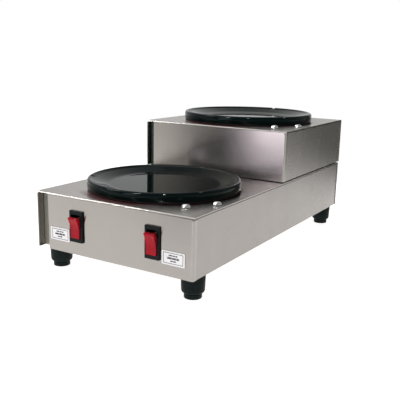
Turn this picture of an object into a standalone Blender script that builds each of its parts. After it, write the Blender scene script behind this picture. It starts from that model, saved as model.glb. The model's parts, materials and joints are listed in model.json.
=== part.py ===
"""Two-tier decanter warmer: a low front warmer and a raised rear warmer in one stainless cabinet.

Row frame: +X is the warmer's right side, the front faces -Y and +Z is up. The origin is on the
worktop, under the middle of the whole warmer. Every piece is one closed solid.
"""

import math

import bmesh
import bpy
from mathutils import Matrix, Vector

MM = 0.001
GAP = 0.3 * MM  # left between pieces that touch
CUT_REACH = 4.0 * MM  # of a cutter on each side of the sheet that it pierces

# Cabinet
WIDTH = 203.2 * MM
LOWER_LENGTH = 400.0 * MM
LOWER_HEIGHT = 62.9 * MM
UPPER_HEIGHT = 61.9 * MM
UPPER_SETBACK = 203.7 * MM  # front of the lower tier to the front of the upper one
UPPER_LENGTH = 198.3 * MM
SHEET = 1.2 * MM
BEND_RADIUS = 2.2 * MM
BEND_STEPS = 4
SIDE_INSET = 0.6 * MM  # the deck overhangs the side panels by this much
SEAM = 0.4 * MM
CORNER_FLANGE = 6.0 * MM  # the front sheet turns this far round the right corner
RECESS = {"lower": (17.0 * MM, 8.5 * MM), "upper": (11.7 * MM, 6.9 * MM)}  # open left corner
PAN_RIM = 12.0 * MM

# Feet
FOOT_HEIGHT = 25.0 * MM
FOOT_INSET = (13.6 * MM, 22.0 * MM)
PAD_RADIUS = 9.2 * MM
PAD_TOP = 5.2 * MM
STUD_RADIUS = 3.7 * MM
STUD_REACH = 8.0 * MM  # of the levelling stud above the base pan

# Warmer plates
PLATE_RADIUS = 87.4 * MM
PLATE_RISE = 12.0 * MM  # of the rim above its deck
PLATE_CLEAR = 2.5 * MM  # between the skirt and its deck
PLATE_SHEET = 1.5 * MM
LIP_RADIUS = 3.0 * MM
SEAT_RADIUS = 62.0 * MM
SEAT_RISE = 5.3 * MM
NOTCH_RADIUS = 2.6 * MM
NOTCH_DEPTH = 1.2 * MM
NOTCH_ANGLES = (-30, 90, 210)
LOWER_PLATE_SETBACK = 99.0 * MM
UPPER_PLATE_SETBACK = 302.4 * MM
DECK_HOLE_RADIUS = 62.5 * MM
PLATE_STUD_RADIUS = 3.0 * MM
PLATE_STUD_DROP = 20.0 * MM
GASKET_RADII = (76.0 * MM, 86.6 * MM)
ELEMENT_RADII = (24.0 * MM, 58.0 * MM)
ELEMENT_THICKNESS = 6.0 * MM
WOOL_RADII = (8.0 * MM, 60.0 * MM)
WOOL_THICKNESS = 6.0 * MM
CUP_RADIUS = 61.6 * MM
BRIM_RADIUS = 72.0 * MM
NUT_RADIUS = 5.8 * MM
NUT_THICKNESS = 5.0 * MM
LEAD_SETBACK = 45.0 * MM  # of the element's two tabs from the plate's centre
LEAD_SPACING = 16.0 * MM
LEAD_DROP = 22.0 * MM
LEAD_WINDOW = (26.0 * MM, 6.0 * MM)  # for both tabs, through the insulation and the cup
TAB = (6.2 * MM, 0.8 * MM)  # push-on tab, width and thickness

# Dome screws, as angle about the plate's centre and distance from it
DOME_PLACES = ((-43, 97.2 * MM), (-23, 98.8 * MM))
DOME_RADIUS = 5.6 * MM
DOME_HEIGHT = 3.3 * MM

# Rocker switches
SWITCH_X = {"left": -43.8 * MM, "right": 54.4 * MM}
SWITCH_Z = 31.5 * MM  # above the cabinet's bottom edge
BEZEL = (17.6 * MM, 1.8 * MM, 34.1 * MM)
TUB = (15.0 * MM, 20.0 * MM, 29.6 * MM)
WINDOW = (12.6 * MM, 18.4 * MM, 25.8 * MM)
ROCKER_WIDTH = 11.9 * MM
ROCKER_HALF = 11.6 * MM
ROCKER_TIP = 6.4 * MM  # from the pivot to the wing's front, in mid position
ROCKER_WAIST = 4.7 * MM
ROCKER_TILT = math.radians(11)
PIVOT_SETBACK = 0.4 * MM  # behind the front panel's face
TRUNNION_RADIUS = 1.3 * MM
TRUNNION_REACH = 0.9 * MM  # beyond each side of the rocker
PLUNGER_RADIUS = 1.5 * MM
ARM = (5.0 * MM, 0.8 * MM, 14.0 * MM)
ARM_SETBACK = 11.15 * MM
ARM_TILT = math.radians(6)
TERMINALS = {"line": 0.0, "load": -5.5 * MM}  # heights about the switch's middle
LOAD_CLEAR = 1.45 * MM  # from the arm's middle to the load contact, open at rest
TAB_END = 28.0 * MM
LAMP_RADIUS = 1.5 * MM
LAMP_LENGTH = 8.0 * MM
LAMP_PLACE = (7.4 * MM, 7.2 * MM)  # behind the front panel and above the switch's middle

# Labels, inlet and wiring
LABEL = (27.0 * MM, 0.25 * MM, 14.1 * MM)
LABEL_X = {"left": -68.0 * MM, "right": 78.6 * MM}
LABEL_Z = 19.2 * MM
BUSHING_X = 58.4 * MM
BUSHING_Z = 24.0 * MM
BUSHING_PROUD = 2.8 * MM
BUSHING_BORE = 4.5 * MM
GROMMET = (-61.6 * MM, 375.0 * MM)
BLOCK_X = 40.9 * MM
BLOCK_SETBACK = 349.0 * MM
BLOCK = (45.0 * MM, 18.0 * MM, 12.0 * MM)
WIRE_RADIUS = 1.3 * MM
EARTH_SCREW = (66.4 * MM, 370.0 * MM)
SCREW_HOLE_RADIUS = 2.4 * MM


def rocker_front():
    """The rocker's dished front, as (height, distance before the pivot), in mid position."""
    steps = 8
    run = ROCKER_HALF - 1.0 * MM
    heights = [run * (2 * i / steps - 1) for i in range(steps + 1)]
    rise = ROCKER_TIP - ROCKER_WAIST
    return [(z, ROCKER_WAIST + rise * (z / run) ** 2) for z in heights]


def rocker_reach():
    """How far the tilted rocker stands out from the front panel."""
    tilted = [out * math.cos(ROCKER_TILT) + z * math.sin(ROCKER_TILT) for z, out in rocker_front()]
    return max(tilted) - PIVOT_SETBACK


FRONT = -(rocker_reach() + LOWER_LENGTH + BUSHING_PROUD) / 2 + rocker_reach()
LEFT = -WIDTH / 2
BASE = FOOT_HEIGHT
LOWER_DECK = BASE + LOWER_HEIGHT
UPPER_DECK = LOWER_DECK + UPPER_HEIGHT


# ---------------------------------------------------------------- tools


def clear_scene():
    for obj in list(bpy.data.objects):
        bpy.data.objects.remove(obj, do_unlink=True)


def make_material(name, colour, roughness, metallic):
    material = bpy.data.materials.new(name)
    material.use_nodes = True
    shader = material.node_tree.nodes["Principled BSDF"]
    shader.inputs["Base Color"].default_value = (*colour, 1.0)
    shader.inputs["Roughness"].default_value = roughness
    shader.inputs["Metallic"].default_value = metallic
    return material


def add_object(name, bm, material=None, location=(0, 0, 0), tilt=0.0):
    """Makes an object of a bmesh, turned by tilt about +X through its location."""
    bmesh.ops.recalc_face_normals(bm, faces=bm.faces)
    mesh = bpy.data.meshes.new(name)
    bm.to_mesh(mesh)
    bm.free()
    mesh.shade_smooth()
    mesh.set_sharp_from_angle(angle=math.radians(32))
    if material:
        mesh.materials.append(MATERIALS[material])
    obj = bpy.data.objects.new(name, mesh)
    bpy.context.scene.collection.objects.link(obj)
    obj.location = location
    obj.rotation_euler = (tilt, 0, 0)
    return obj


def box_mesh(low, high):
    bm = bmesh.new()
    bmesh.ops.create_cube(bm, size=1.0)
    low, high = Vector(low), Vector(high)
    size = Matrix.Diagonal((high - low).to_4d())
    size[3][3] = 1
    bm.transform(Matrix.Translation((low + high) / 2) @ size)
    return bm


def prism_mesh(outline, low, high, axis):
    """A closed outline pushed from low to high along an axis.

    The outline's pairs are (y, z) along X, (x, z) along Y and (x, y) along Z.
    """
    place = {
        "X": lambda u, v, along: (along, u, v),
        "Y": lambda u, v, along: (u, along, v),
        "Z": lambda u, v, along: (u, v, along),
    }[axis]
    bm = bmesh.new()
    ends = [[bm.verts.new(place(u, v, along)) for u, v in outline] for along in (low, high)]
    for end in ends:
        bm.faces.new(end)
    count = len(outline)
    for i in range(count):
        j = (i + 1) % count
        bm.faces.new((ends[0][i], ends[0][j], ends[1][j], ends[1][i]))
    return bm


def turned_mesh(profile, segments=24, axis="Z"):
    """A closed (radius, height) profile turned about an axis. A radius of 0 lies on it."""
    bm = bmesh.new()
    rings = []
    for radius, height in profile:
        count = segments if radius > 0 else 1
        turn = [2 * math.pi * i / segments for i in range(count)]
        ring = [bm.verts.new((radius * math.cos(a), radius * math.sin(a), height)) for a in turn]
        rings.append(ring)
    for near, far in zip(rings, rings[1:] + rings[:1]):
        for i in range(segments):
            j = (i + 1) % segments
            corners = [near[i % len(near)], near[j % len(near)], far[j % len(far)], far[i % len(far)]]
            unique = list(dict.fromkeys(corners))
            if len(unique) > 2:
                bm.faces.new(unique)
    turns = {
        "X": Matrix.Rotation(math.pi / 2, 4, "Y"),
        "Y": Matrix.Rotation(-math.pi / 2, 4, "X"),
        "Z": Matrix.Identity(4),
    }
    bm.transform(turns[axis])
    return bm


def rod_mesh(radius, low, high, segments=16, axis="Z"):
    return turned_mesh([(0, low), (radius, low), (radius, high), (0, high)], segments, axis)


def combine(target, helper, operation):
    """Cuts helper from target, or joins it on. The helper itself isn't part of the warmer."""
    helper.hide_render = True
    helper.display_type = "WIRE"
    modifier = target.modifiers.new(helper.name, "BOOLEAN")
    modifier.operation = operation
    modifier.object = helper
    modifier.solver = "EXACT"


def cut(target, name, bm, **place):
    combine(target, add_object(f"cutter_{name}", bm, **place), "DIFFERENCE")


def join(target, name, bm, **place):
    combine(target, add_object(f"blank_{name}", bm, **place), "UNION")


def arc(centre, radius, start, end, steps):
    """Points of an arc in a plane, angles in degrees, both ends included."""
    angles = [math.radians(start + (end - start) * i / steps) for i in range(steps + 1)]
    return [(centre[0] + radius * math.cos(a), centre[1] + radius * math.sin(a)) for a in angles]


# ---------------------------------------------------------------- cabinet


def wrap_outline(front, back, bottom, top):
    """Side view of the sheet that makes a tier's front, deck and back in one piece."""
    outer = [(front, bottom)]
    outer += arc((front + BEND_RADIUS, top - BEND_RADIUS), BEND_RADIUS, 180, 90, BEND_STEPS)
    outer += arc((back - BEND_RADIUS, top - BEND_RADIUS), BEND_RADIUS, 90, 0, BEND_STEPS)
    outer += [(back, bottom), (back - SHEET, bottom)]
    inner = BEND_RADIUS - SHEET
    outer += arc((back - BEND_RADIUS, top - BEND_RADIUS), inner, 0, 90, BEND_STEPS)
    outer += arc((front + BEND_RADIUS, top - BEND_RADIUS), inner, 90, 180, BEND_STEPS)
    return outer + [(front + SHEET, bottom)]


def add_tier(tier, front, back, bottom, deck):
    """A tier's wrap sheet, its two side panels and the channel that closes its left corner."""
    under_deck = deck - SHEET - SEAM
    recess_width, recess_depth = RECESS[tier]
    sheet = prism_mesh(wrap_outline(front, back, bottom, deck), LEFT, -LEFT, "X")
    wrap = add_object(f"{tier}_housing", sheet, "stainless")
    low = (LEFT - 1 * MM, front - 1 * MM, bottom - 1 * MM)
    high = (LEFT + recess_width, front + 2.0 * MM, deck - SHEET)
    cut(wrap, f"{tier}_recess", box_mesh(low, high))
    flange_x = -LEFT - SIDE_INSET / 2
    low = (flange_x - SHEET, front + SHEET / 2, bottom + GAP)
    high = (flange_x, front + CORNER_FLANGE, under_deck)
    join(wrap, f"{tier}_flange", box_mesh(low, high))

    panel_back = back - SHEET - SEAM
    starts = {"left": front + GAP, "right": front + CORNER_FLANGE + SEAM}
    for side, sign in (("left", -1), ("right", 1)):
        ends = sorted(sign * (-LEFT - SIDE_INSET - depth) for depth in (0, SHEET))
        panel = box_mesh((ends[0], starts[side], bottom), (ends[1], panel_back, under_deck))
        add_object(f"{tier}_{side}_panel", panel, "stainless")

    x0 = LEFT + SIDE_INSET + SHEET + GAP
    x1 = LEFT + recess_width
    y0 = front + SHEET + GAP
    y1 = front + recess_depth
    outline = [(x0, y1), (x1, y1), (x1, y0)]
    outline += [(x1 + SHEET, y0), (x1 + SHEET, y1 + SHEET), (x0, y1 + SHEET)]
    channel = prism_mesh(outline, bottom + GAP, under_deck, "Z")
    add_object(f"{tier}_corner_channel", channel, "stainless")
    return wrap


def add_base_pan():
    """Shallow tray that closes the lower tier and carries the feet."""
    left = LEFT + SIDE_INSET + SHEET + SEAM
    front = FRONT + SHEET + SEAM
    back = FRONT + LOWER_LENGTH - SHEET - SEAM
    recess_width, recess_depth = RECESS["lower"]
    corner_x = LEFT + recess_width + SHEET + SEAM
    corner_y = FRONT + recess_depth + SHEET + SEAM

    def outline(inset):
        return [
            (corner_x + inset, front + inset),
            (-left - inset, front + inset),
            (-left - inset, back - inset),
            (left + inset, back - inset),
            (left + inset, corner_y + inset),
            (corner_x + inset, corner_y + inset),
        ]

    pan = add_object("base_pan", prism_mesh(outline(0), BASE, BASE + PAN_RIM, "Z"), "stainless")
    cut(pan, "pan_inside", prism_mesh(outline(SHEET), BASE + SHEET, BASE + PAN_RIM + 1 * MM, "Z"))
    for name, x, y in foot_places():
        hole = rod_mesh(STUD_RADIUS + 2 * GAP, -1 * MM, SHEET + 1 * MM)
        cut(pan, f"stud_hole_{name}", hole, location=(x, y, BASE))
    hole = rod_mesh(SCREW_HOLE_RADIUS, -1 * MM, SHEET + 1 * MM)
    cut(pan, "earth_hole", hole, location=(EARTH_SCREW[0], FRONT + EARTH_SCREW[1], BASE))


# ---------------------------------------------------------------- feet


def foot_places():
    x = -LEFT - FOOT_INSET[0]
    rows = {"front": FRONT + FOOT_INSET[1], "rear": FRONT + LOWER_LENGTH - FOOT_INSET[1]}
    sides = {"left": -x, "right": x}
    return [(f"{row}_{side}", sides[side], rows[row]) for row in rows for side in sides]


def add_feet():
    """Each foot is a tapered collar under the pan and a pad on a stud that screws up into it."""
    bore = STUD_RADIUS + GAP
    top = FOOT_HEIGHT - GAP
    bottom = PAD_TOP + GAP
    collar = [(bore, bottom), (9.8 * MM, bottom)]
    collar += arc((8.8 * MM, bottom + 3.2 * MM), 3.2 * MM, -45, 0, 3)
    collar += [(12.7 * MM, top), (bore, top)]
    pad = [(0, 0), (PAD_RADIUS - 0.6 * MM, 0), (PAD_RADIUS, 0.6 * MM), (PAD_RADIUS, PAD_TOP)]
    pad += [(STUD_RADIUS, PAD_TOP), (STUD_RADIUS, BASE + STUD_REACH), (0, BASE + STUD_REACH)]
    for name, x, y in foot_places():
        add_object(f"foot_collar_{name}", turned_mesh(collar, 20), "black_rubber", (x, y, 0))
        add_object(f"foot_pad_{name}", turned_mesh(pad, 20), "black_rubber", (x, y, 0))


# ---------------------------------------------------------------- warmers


def ring_profile(inner, outer, bottom, top):
    return [(inner, bottom), (outer, bottom), (outer, top), (inner, top)]


def plate_profile():
    """The enamelled plate, with the threaded stud welded under its middle."""
    lip = (PLATE_RADIUS - LIP_RADIUS, PLATE_RISE - LIP_RADIUS)
    under = SEAT_RISE - PLATE_SHEET
    top = [(0, SEAT_RISE), (SEAT_RADIUS, SEAT_RISE), (SEAT_RADIUS + 3 * MM, SEAT_RISE + 0.6 * MM)]
    top += [(lip[0] - 3.2 * MM, PLATE_RISE - 1.4 * MM), (lip[0] - 1.6 * MM, PLATE_RISE - 0.3 * MM)]
    top += arc(lip, LIP_RADIUS, 90, 0, 3)
    skirt = [(PLATE_RADIUS, PLATE_CLEAR), (PLATE_RADIUS - PLATE_SHEET, PLATE_CLEAR)]
    inside = arc(lip, LIP_RADIUS - PLATE_SHEET, 0, 90, 2)
    inside += [(lip[0] - 3.0 * MM, PLATE_RISE - 3.0 * MM), (SEAT_RADIUS + 2 * MM, under)]
    stud = [(PLATE_STUD_RADIUS, under), (PLATE_STUD_RADIUS, -PLATE_STUD_DROP), (0, -PLATE_STUD_DROP)]
    return top + skirt + inside + stud


def add_warmer(tier, wrap, setback, deck):
    """Plate, gasket, element, insulation, cup and nut, clamped through a hole in the deck."""
    centre = (0, FRONT + setback, deck)
    cut(wrap, f"{tier}_deck_hole", rod_mesh(DECK_HOLE_RADIUS, -CUT_REACH, CUT_REACH, 40), location=centre)

    plate = add_object(f"{tier}_warmer_plate", turned_mesh(plate_profile(), 40), "black_enamel", centre)
    for angle in NOTCH_ANGLES:
        notch = rod_mesh(NOTCH_RADIUS, PLATE_RADIUS - 5.5 * MM, PLATE_RADIUS + 2 * MM, 12, "X")
        notch.transform(Matrix.Translation((0, 0, PLATE_RISE + NOTCH_RADIUS - NOTCH_DEPTH)))
        notch.transform(Matrix.Rotation(math.radians(angle), 4, "Z"))
        cut(plate, f"{tier}_rim_notch_{angle % 360}", notch, location=centre)

    gasket = ring_profile(*GASKET_RADII, GAP, PLATE_CLEAR - GAP)
    add_object(f"{tier}_plate_gasket", turned_mesh(gasket, 40), "red_silicone", centre)

    element_top = SEAT_RISE - PLATE_SHEET - GAP
    element_bottom = element_top - ELEMENT_THICKNESS
    ring = ring_profile(*ELEMENT_RADII, element_bottom, element_top)
    element = add_object(f"{tier}_heating_element", turned_mesh(ring, 24), "mica", centre)
    for side, sign in (("left", -1), ("right", 1)):
        x = sign * LEAD_SPACING / 2
        low = (x - TAB[0] / 2, LEAD_SETBACK - TAB[1] / 2, -LEAD_DROP)
        high = (x + TAB[0] / 2, LEAD_SETBACK + TAB[1] / 2, element_top - 3 * MM)
        join(element, f"{tier}_{side}_element_tab", box_mesh(low, high), location=centre)

    wool_top = element_bottom - GAP
    wool_bottom = wool_top - WOOL_THICKNESS
    wool = ring_profile(*WOOL_RADII, wool_bottom, wool_top)
    insulation = add_object(f"{tier}_insulation", turned_mesh(wool, 24), "mineral_wool", centre)

    floor = wool_bottom - GAP - SHEET
    brim = -SHEET - GAP
    bore = PLATE_STUD_RADIUS + GAP
    inner = CUP_RADIUS - SHEET
    dish = [(bore, floor), (CUP_RADIUS, floor), (CUP_RADIUS, brim - SHEET), (BRIM_RADIUS, brim - SHEET)]
    dish += [(BRIM_RADIUS, brim), (inner, brim), (inner, floor + SHEET), (bore, floor + SHEET)]
    cup = add_object(f"{tier}_retainer_cup", turned_mesh(dish, 24), "plated_steel", centre)
    low = (-LEAD_WINDOW[0] / 2, LEAD_SETBACK - LEAD_WINDOW[1] / 2, floor - 1 * MM)
    high = (LEAD_WINDOW[0] / 2, LEAD_SETBACK + LEAD_WINDOW[1] / 2, wool_top + 0.1 * MM)
    cut(insulation, f"{tier}_insulation_window", box_mesh(low, high), location=centre)
    cut(cup, f"{tier}_cup_window", box_mesh(low, high), location=centre)

    nut_top = floor - GAP
    blank = rod_mesh(NUT_RADIUS, nut_top - NUT_THICKNESS, nut_top, 6)
    nut = add_object(f"{tier}_plate_nut", blank, "plated_steel", centre)
    hole = rod_mesh(bore, nut_top - NUT_THICKNESS - 1 * MM, nut_top + 1 * MM, 12)
    cut(nut, f"{tier}_nut_bore", hole, location=centre)

    for number, (angle, distance) in enumerate(DOME_PLACES, 1):
        x = distance * math.cos(math.radians(angle))
        y = distance * math.sin(math.radians(angle))
        place = (centre[0] + x, centre[1] + y, deck)
        hole = rod_mesh(SCREW_HOLE_RADIUS, -CUT_REACH, CUT_REACH, 12)
        cut(wrap, f"{tier}_screw_hole_{number}", hole, location=place)
        add_object(f"{tier}_dome_screw_{number}", turned_mesh(dome_profile(), 12), "chrome", place)


def dome_profile():
    """A low dome head on a plain shank, above and below a deck's top face at height 0."""
    head = [(DOME_RADIUS * math.cos(a), GAP + DOME_HEIGHT * math.sin(a)) for a in (0.0, 0.4, 0.8, 1.2)]
    return [(0, -8 * MM), (2 * MM, -8 * MM), (2 * MM, GAP), *head, (0, GAP + DOME_HEIGHT)]


# ---------------------------------------------------------------- switches


def add_switch(side, wrap):
    """A snap-in rocker switch: body, rocker and plunger, and the see-saw contact inside."""
    place = Vector((SWITCH_X[side], FRONT, BASE + SWITCH_Z))
    half = [size / 2 for size in BEZEL]
    tub = [size / 2 for size in TUB]
    window = [size / 2 for size in WINDOW]

    low = (-tub[0] - GAP, -CUT_REACH, -tub[2] - GAP)
    high = (tub[0] + GAP, CUT_REACH, tub[2] + GAP)
    cut(wrap, f"{side}_switch_hole", box_mesh(low, high), location=place)

    bezel = box_mesh((-half[0], -GAP - BEZEL[1], -half[2]), (half[0], -GAP, half[2]))
    body = add_object(f"{side}_switch_body", bezel, "black_nylon", place)
    outside = box_mesh((-tub[0], -1 * MM, -tub[2]), (tub[0], TUB[1], tub[2]))
    join(body, f"{side}_tub", outside, location=place)
    inside = box_mesh((-window[0], -CUT_REACH, -window[2]), (window[0], WINDOW[1], window[2]))
    cut(body, f"{side}_window", inside, location=place)
    pocket = rod_mesh(TRUNNION_RADIUS + GAP, -tub[0] + GAP, tub[0] - GAP, 16, "X")
    cut(body, f"{side}_trunnion_pocket", pocket, location=place + Vector((0, PIVOT_SETBACK, 0)))
    slot = (TAB[0] / 2 + 0.4 * MM, TAB[1] / 2 + GAP)
    for name, height in TERMINALS.items():
        low = (-slot[0], WINDOW[1] - 2 * MM, height - slot[1])
        high = (slot[0], TUB[1] + 2 * MM, height + slot[1])
        cut(body, f"{side}_{name}_slot", box_mesh(low, high), location=place)

    pivot = place + Vector((0, PIVOT_SETBACK, 0))
    blank = prism_mesh(rocker_outline(), -ROCKER_WIDTH / 2, ROCKER_WIDTH / 2, "X")
    rocker = add_object(f"{side}_rocker", blank, "red_rocker", pivot, ROCKER_TILT)
    reach = ROCKER_WIDTH / 2 + TRUNNION_REACH
    trunnion = rod_mesh(TRUNNION_RADIUS, -reach, reach, 12, "X")
    join(rocker, f"{side}_trunnion", trunnion, location=pivot, tilt=ROCKER_TILT)
    bore = rod_mesh(PLUNGER_RADIUS + GAP, 0.5 * MM, 9 * MM, 12, "Y")
    cut(rocker, f"{side}_plunger_bore", bore, location=pivot, tilt=ROCKER_TILT)
    tip = [(0, 1 * MM), (PLUNGER_RADIUS, 1 * MM), (PLUNGER_RADIUS, 9 * MM)]
    tip += [(0.6 * PLUNGER_RADIUS, 9.8 * MM), (0, 10 * MM)]
    add_object(f"{side}_plunger", turned_mesh(tip, 12, "Y"), "white_nylon", pivot, ROCKER_TILT)

    half = [size / 2 for size in ARM]
    arm = box_mesh([-size for size in half], half)
    arm_place = place + Vector((0, ARM_SETBACK, 0))
    add_object(f"{side}_contact_arm", arm, "brass", arm_place, -ARM_TILT)
    starts = {"line": ARM_SETBACK + ARM[1] / 2 + GAP, "load": ARM_SETBACK + LOAD_CLEAR}
    for name, height in TERMINALS.items():
        low = (-TAB[0] / 2, starts[name], height - TAB[1] / 2)
        high = (TAB[0] / 2, TAB_END, height + TAB[1] / 2)
        add_object(f"{side}_{name}_terminal", box_mesh(low, high), "brass", place)
    lamp = rod_mesh(LAMP_RADIUS, -LAMP_LENGTH / 2, LAMP_LENGTH / 2, 12, "X")
    add_object(f"{side}_lamp", lamp, "lamp_glass", place + Vector((0, *LAMP_PLACE)))


def rocker_outline():
    """Side view of the rocker about its pivot, as (y, z), in mid position with its front to -Y."""
    front = [(-out, z) for z, out in rocker_front()]
    tail = [(-5.7 * MM, ROCKER_HALF), (-2.6 * MM, ROCKER_HALF), (0.5 * MM, 3.2 * MM), (6 * MM, 3.0 * MM)]
    return front + tail + [(y, -z) for y, z in reversed(tail)]


# ---------------------------------------------------------------- labels, inlet and wiring


def add_labels():
    half = LABEL[0] / 2
    for side, x in LABEL_X.items():
        plate = box_mesh((-half, -GAP - LABEL[1], -LABEL[2] / 2), (half, -GAP, LABEL[2] / 2))
        add_object(f"{side}_label", plate, "label_white", (x, FRONT, BASE + LABEL_Z))


def add_inlet(wrap):
    """A snap bushing in the back, where the supply cord would enter."""
    place = (BUSHING_X, FRONT + LOWER_LENGTH, BASE + BUSHING_Z)
    neck = 7.6 * MM
    cut(wrap, "bushing_hole", rod_mesh(neck + GAP, -CUT_REACH, CUT_REACH, 24, "Y"), location=place)
    profile = [(BUSHING_BORE, BUSHING_PROUD), (8.6 * MM, BUSHING_PROUD), (10 * MM, 1.6 * MM), (10 * MM, GAP)]
    profile += [(neck, GAP), (neck, -1.6 * MM), (8.8 * MM, -2.2 * MM)]
    profile += [(neck, -7 * MM), (BUSHING_BORE, -7 * MM)]
    add_object("cord_bushing", turned_mesh(profile, 24, "Y"), "black_nylon", place)


def add_grommet(wrap):
    """A rubber ring in the lower deck, where the upper warmer's wires pass."""
    place = (GROMMET[0], FRONT + GROMMET[1], LOWER_DECK)
    neck, lip = 6.2 * MM, 8 * MM
    cut(wrap, "grommet_hole", rod_mesh(neck + GAP, -CUT_REACH, CUT_REACH, 16), location=place)
    under = -SHEET - GAP
    profile = [(5 * MM, 1.5 * MM), (lip, 1.5 * MM), (lip, GAP), (neck, GAP), (neck, under), (lip, under)]
    profile += [(lip, under - 1.2 * MM), (5 * MM, under - 1.2 * MM)]
    add_object("riser_grommet", turned_mesh(profile, 16), "black_rubber", place)


def add_terminal_block():
    """A barrier strip on the base pan: four ways between five ribs."""
    ways = 4
    rib = 2 * MM
    pitch = (BLOCK[0] - rib) / ways
    outline = [(BLOCK[0] / 2, 0), (-BLOCK[0] / 2, 0)]
    for i in range(ways + 1):
        x = -BLOCK[0] / 2 + i * pitch
        outline += [(x, BLOCK[2]), (x + rib, BLOCK[2])]
        if i < ways:
            outline += [(x + rib, BLOCK[2] / 2), (x + pitch, BLOCK[2] / 2)]
    place = (BLOCK_X, FRONT + BLOCK_SETBACK, BASE + SHEET + GAP)
    add_object("terminal_block", prism_mesh(outline, -BLOCK[1] / 2, BLOCK[1] / 2, "Y"), "phenolic", place)
    screw = [(0, -4 * MM), (2 * MM, -4 * MM), (2 * MM, SHEET + GAP), (4 * MM, SHEET + GAP)]
    screw += [(4 * MM, SHEET + 2.5 * MM), (0, SHEET + 3.2 * MM)]
    place = (EARTH_SCREW[0], FRONT + EARTH_SCREW[1], BASE)
    add_object("earth_screw", turned_mesh(screw, 12), "plated_steel", place)


def smooth_route(points, samples):
    """Points of a smooth curve through the route, spread evenly between its own points."""
    route = [Vector(p) for p in points]
    ends = [2 * route[0] - route[1], *route, 2 * route[-1] - route[-2]]
    curve = []
    for p0, p1, p2, p3 in zip(ends, ends[1:], ends[2:], ends[3:]):
        for i in range(samples):
            t = i / samples
            a = 2 * p1 + (p2 - p0) * t
            b = (2 * p0 - 5 * p1 + 4 * p2 - p3) * t**2
            c = (3 * p1 - p0 - 3 * p2 + p3) * t**3
            curve.append((a + b + c) / 2)
    return [*curve, route[-1]]


def add_wire(name, points):
    """A round wire. Each point is (x, distance behind the front panel, height above the pan)."""
    curve = bpy.data.curves.new(name, "CURVE")
    curve.dimensions = "3D"
    curve.bevel_depth = WIRE_RADIUS
    curve.bevel_resolution = 1
    curve.use_fill_caps = True
    path = smooth_route([(x * MM, FRONT + y * MM, BASE + z * MM) for x, y, z in points], 3)
    spline = curve.splines.new("POLY")
    spline.points.add(len(path) - 1)
    for point, at in zip(spline.points, path):
        point.co = (*at, 1)
    curve.materials.append(MATERIALS["wire_insulation"])
    obj = bpy.data.objects.new(name, curve)
    bpy.context.scene.collection.objects.link(obj)


def add_wires():
    """Supply to both switches, each switch to its element, and both elements back to the block.

    The routes are in millimetres, laid by hand round the other pieces.
    """
    routes = {
        "left_supply_wire": [
            (-43.8, 28.4, 31.5), (-43.8, 36, 31.5), (-38, 56, 22), (-22, 112, 8),
            (10, 240, 6), (31, 318, 7), (32.5, 334, 7), (32.5, 339.6, 7),
        ],
        "right_supply_wire": [
            (54.4, 28.4, 31.5), (54.4, 36, 31.5), (64, 56, 22), (78, 104, 8),
            (74, 230, 6), (47, 316, 7), (43, 334, 7), (43, 339.6, 7),
        ],
        "upper_load_wire": [
            (-43.8, 28.4, 26), (-43.8, 34, 26), (-52, 50, 17), (-72, 92, 8), (-76, 220, 7),
            (-72, 330, 12), (-64, 370, 36), (-63.6, 375, 54), (-63.6, 375, 66), (-56, 366, 82),
            (-28, 352, 87), (-10, 347.4, 90), (-8, 347.4, 98), (-8, 347.4, 102.3),
        ],
        "lower_load_wire": [
            (54.4, 28.4, 26), (54.4, 34, 26), (46, 54, 17), (30, 100, 13),
            (12, 136, 20), (8, 144, 33), (8, 144, 40.5),
        ],
        "lower_neutral_wire": [
            (-8, 144, 40.5), (-8, 144, 33), (-4, 168, 15), (12, 270, 12),
            (21, 322, 7), (22, 334, 7), (22, 339.6, 7),
        ],
        "upper_neutral_wire": [
            (8, 347.4, 102.3), (8, 347.4, 96), (4, 358, 80), (-26, 379, 71), (-54, 379, 70),
            (-59.6, 376, 64), (-59.6, 375, 50), (-50, 372, 24), (-14, 354, 8), (10, 349, 7),
            (18, 349, 7),
        ],
    }
    for name, points in routes.items():
        add_wire(name, points)


# ---------------------------------------------------------------- assembly

clear_scene()
MATERIALS = {
    name: make_material(name, colour, roughness, metallic)
    for name, colour, roughness, metallic in (
        ("stainless", (0.62, 0.60, 0.57), 0.32, 1.0),
        ("black_enamel", (0.010, 0.014, 0.014), 0.08, 0.0),
        ("red_silicone", (0.20, 0.02, 0.02), 0.55, 0.0),
        ("mica", (0.55, 0.47, 0.36), 0.70, 0.0),
        ("mineral_wool", (0.72, 0.70, 0.62), 0.95, 0.0),
        ("plated_steel", (0.55, 0.56, 0.57), 0.35, 1.0),
        ("chrome", (0.80, 0.80, 0.80), 0.12, 1.0),
        ("black_nylon", (0.015, 0.016, 0.018), 0.42, 0.0),
        ("white_nylon", (0.80, 0.79, 0.75), 0.45, 0.0),
        ("red_rocker", (0.62, 0.01, 0.02), 0.18, 0.0),
        ("brass", (0.70, 0.52, 0.24), 0.30, 1.0),
        ("lamp_glass", (0.85, 0.45, 0.30), 0.05, 0.0),
        ("label_white", (0.85, 0.85, 0.84), 0.40, 0.0),
        ("black_rubber", (0.014, 0.016, 0.016), 0.60, 0.0),
        ("phenolic", (0.10, 0.06, 0.04), 0.50, 0.0),
        ("wire_insulation", (0.70, 0.68, 0.62), 0.60, 0.0),
    )
}
lower_wrap = add_tier("lower", FRONT, FRONT + LOWER_LENGTH, BASE, LOWER_DECK)
upper_front = FRONT + UPPER_SETBACK
upper_wrap = add_tier("upper", upper_front, upper_front + UPPER_LENGTH, LOWER_DECK + SEAM, UPPER_DECK)
add_base_pan()
add_feet()
add_warmer("lower", lower_wrap, LOWER_PLATE_SETBACK, LOWER_DECK)
add_warmer("upper", upper_wrap, UPPER_PLATE_SETBACK, UPPER_DECK)
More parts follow.
